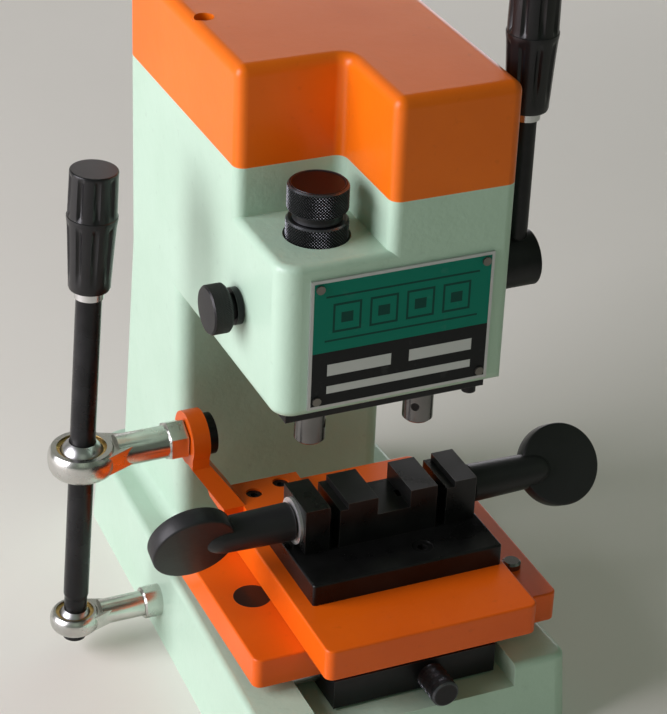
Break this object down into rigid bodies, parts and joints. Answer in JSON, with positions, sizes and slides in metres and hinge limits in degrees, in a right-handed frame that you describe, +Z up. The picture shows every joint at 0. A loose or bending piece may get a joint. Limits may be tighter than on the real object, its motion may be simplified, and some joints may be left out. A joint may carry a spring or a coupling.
{
  "type": "key duplicating machine",
  "caption": "Bench key copier: a pale green C-frame with tracer and cutter spindles over an orange two-way table with twin vises, control lever and feed lever.",
  "frame": {"origin": "centre of the base's underside, on the bench", "axes": "+X right, +Y back, +Z up; the name plate faces -Y"},
  "size_m": [0.2504, 0.266, 0.346],
  "materials": {
    "casting_paint": "satin",
    "table_paint": "satin",
    "black_steel": "satin",
    "bright_steel": "satin",
    "zinc": "satin",
    "brass_race": "satin",
    "plate_face": "satin",
    "grip_plastic": "gloss",
    "pulley_alloy": "satin",
    "belt_rubber": "matte"
  },
  "bodies": {
    "frame": {"frame_casting": "casting_paint", "bottom_plate": "bright_steel", "top_cover": "table_paint", "frame_screws": "black_steel", "name_plate": "plate_face", "plate_rivets": "bright_steel", "motor": "black_steel", "drive_belt": "belt_rubber", "guide_columns": "bright_steel", "x_guide_rods": "bright_steel", "rod_end_lower": "zinc", "pinion_bush": "brass_race", "power_inlet": "grip_plastic"},
    "motor_drive": {"motor_shaft": "bright_steel", "motor_pulley": "pulley_alloy"},
    "pulley": {"spindle_pulley": "pulley_alloy"},
    "carrier": {"carrier_block": "bright_steel", "carrier_plate": "black_steel", "carrier_rack": "bright_steel", "spindle_bearings": "bright_steel", "plate_stop_screw": "black_steel"},
    "cutter": {"cutter_spindle": "bright_steel", "cutter_set_screw": "bright_steel"},
    "tracer": {"tracer_spindle": "bright_steel", "tracer_set_screw": "bright_steel"},
    "tracer_adjuster": {"tracer_knob": "black_steel"},
    "tracer_lock": {"tracer_lock_ring": "black_steel"},
    "carrier_lock": {"carrier_lock_knob": "black_steel"},
    "feed_lever": {"pinion_shaft": "bright_steel", "feed_hub": "black_steel", "feed_rod": "black_steel", "feed_collar": "bright_steel", "feed_grip": "grip_plastic"},
    "x_slide": {"x_slide_block": "black_steel", "lower_table": "table_paint", "table_plug": "black_steel", "table_stop_screw": "bright_steel", "y_guide_rails": "bright_steel"},
    "table_lock": {"table_lock_screw": "black_steel"},
    "y_slide": {"upper_table": "table_paint", "table_arm": "table_paint", "arm_screws": "black_steel", "rod_end_upper": "zinc", "arm_nut": "black_steel", "vise_body": "black_steel", "vise_screw": "black_steel"},
    "left_clamp": {"left_jaw": "black_steel", "left_washer": "bright_steel"},
    "right_clamp": {"right_jaw": "black_steel"},
    "left_screw": {"left_wing_knob": "black_steel"},
    "right_screw": {"right_wing_knob": "black_steel"},
    "lower_swivel": {"lower_race": "brass_race"},
    "control_lever": {"lower_ball": "bright_steel", "control_rod": "black_steel", "control_collar": "bright_steel", "control_grip": "grip_plastic"},
    "upper_swivel": {"upper_race": "brass_race"},
    "upper_pivot": {"upper_ball": "bright_steel"}
  },
  "joints": [
    {"name": "motor_turn", "type": "hinge", "parent": "frame", "child": "motor_drive", "pos_m": [0.008, 0.0576, 0.25], "axis": [0, 0, 1], "continuous": true},
    {"name": "pulley_turn", "type": "hinge", "parent": "frame", "child": "pulley", "pos_m": [0.0268, -0.0707, 0.25], "axis": [0, 0, 1], "continuous": true},
    {"name": "carrier_slide", "type": "slide", "parent": "frame", "child": "carrier", "axis": [0, 0, 1], "range_m": [-0.01466, 0], "stiffness_N_per_m": 600, "springref_m": 0.05},
    {"name": "cutter_turn", "type": "hinge", "parent": "carrier", "child": "cutter", "pos_m": [0.0268, -0.0707, 0.15], "axis": [0, 0, 1], "continuous": true},
    {"name": "tracer_slide", "type": "slide", "parent": "carrier", "child": "tracer", "axis": [0, 0, 1], "range_m": [-0.001, 0.001]},
    {"name": "tracer_knob_turn", "type": "hinge", "parent": "carrier", "child": "tracer_adjuster", "pos_m": [-0.0268, -0.0707, 0.26], "axis": [0, 0, 1], "range_deg": [-361, 361]},
    {"name": "tracer_lock_turn", "type": "hinge", "parent": "carrier", "child": "tracer_lock", "pos_m": [-0.0268, -0.0707, 0.245], "axis": [0, 0, 1], "range_deg": [0, 180]},
    {"name": "carrier_lock_turn", "type": "hinge", "parent": "frame", "child": "carrier_lock", "pos_m": [-0.06, -0.0513, 0.2045], "axis": [1, 0, 0], "range_deg": [-180, 180]},
    {"name": "feed_turn", "type": "hinge", "parent": "frame", "child": "feed_lever", "pos_m": [0.06, -0.069, 0.214], "axis": [1, 0, 0], "range_deg": [0, 70.2]},
    {"name": "table_x", "type": "slide", "parent": "frame", "child": "x_slide", "axis": [1, 0, 0], "range_m": [-0.013, 0.003]},
    {"name": "table_lock_turn", "type": "hinge", "parent": "x_slide", "child": "table_lock", "pos_m": [0.0123, -0.13, 0.0395], "axis": [0, 1, 0], "range_deg": [-180, 180]},
    {"name": "table_y", "type": "slide", "parent": "x_slide", "child": "y_slide", "axis": [0, 1, 0], "range_m": [-0.018, 0.011]},
    {"name": "left_jaw_slide", "type": "slide", "parent": "y_slide", "child": "left_clamp", "axis": [1, 0, 0], "range_m": [0, 0.0025]},
    {"name": "left_wing_turn", "type": "hinge", "parent": "left_clamp", "child": "left_screw", "pos_m": [-0.05, -0.073, 0.1], "axis": [1, 0, 0], "range_deg": [0, 720]},
    {"name": "right_jaw_slide", "type": "slide", "parent": "y_slide", "child": "right_clamp", "axis": [-1, 0, 0], "range_m": [0, 0.0025]},
    {"name": "right_wing_turn", "type": "hinge", "parent": "right_clamp", "child": "right_screw", "pos_m": [0.06, -0.073, 0.1], "axis": [-1, 0, 0], "range_deg": [0, 720]},
    {"name": "lower_swivel_turn", "type": "hinge", "parent": "frame", "child": "lower_swivel", "pos_m": [-0.1168, -0.003, 0.0188], "axis": [0, 1, 0], "range_deg": [-8.4, 2.1]},
    {"name": "control_lever_turn", "type": "hinge", "parent": "lower_swivel", "child": "control_lever", "pos_m": [-0.1168, -0.003, 0.0188], "axis": [1, 0, 0], "range_deg": [-7.2, 11.8]},
    {"name": "upper_swivel_turn", "type": "hinge", "parent": "y_slide", "child": "upper_swivel", "pos_m": [-0.1118, -0.003, 0.1092], "axis": [0, 1, 0], "range_deg": [-8.4, 2.1]},
    {"name": "upper_pivot_turn", "type": "hinge", "parent": "upper_swivel", "child": "upper_pivot", "pos_m": [-0.1118, -0.003, 0.1092], "axis": [1, 0, 0], "range_deg": [-7.2, 11.8]}
  ],
  "couplings": [
    {"joint": "pulley_turn", "follows": "motor_turn", "ratio": 1.3333},
    {"joint": "cutter_turn", "follows": "motor_turn", "ratio": 1.3333},
    {"joint": "feed_turn", "follows": "carrier_slide", "rad_per_m": -83.333},
    {"joint": "tracer_knob_turn", "follows": "tracer_slide", "rad_per_m": 6283.2},
    {"joint": "left_wing_turn", "follows": "left_jaw_slide", "rad_per_m": 5026},
    {"joint": "right_wing_turn", "follows": "right_jaw_slide", "rad_per_m": 5026},
    {"joint": "lower_swivel_turn", "follows": "table_x", "rad_per_m": 11.062},
    {"joint": "upper_swivel_turn", "follows": "table_x", "rad_per_m": 11.062},
    {"joint": "control_lever_turn", "follows": "table_y", "rad_per_m": -11.062},
    {"joint": "upper_pivot_turn", "follows": "table_y", "rad_per_m": -11.062}
  ]
}
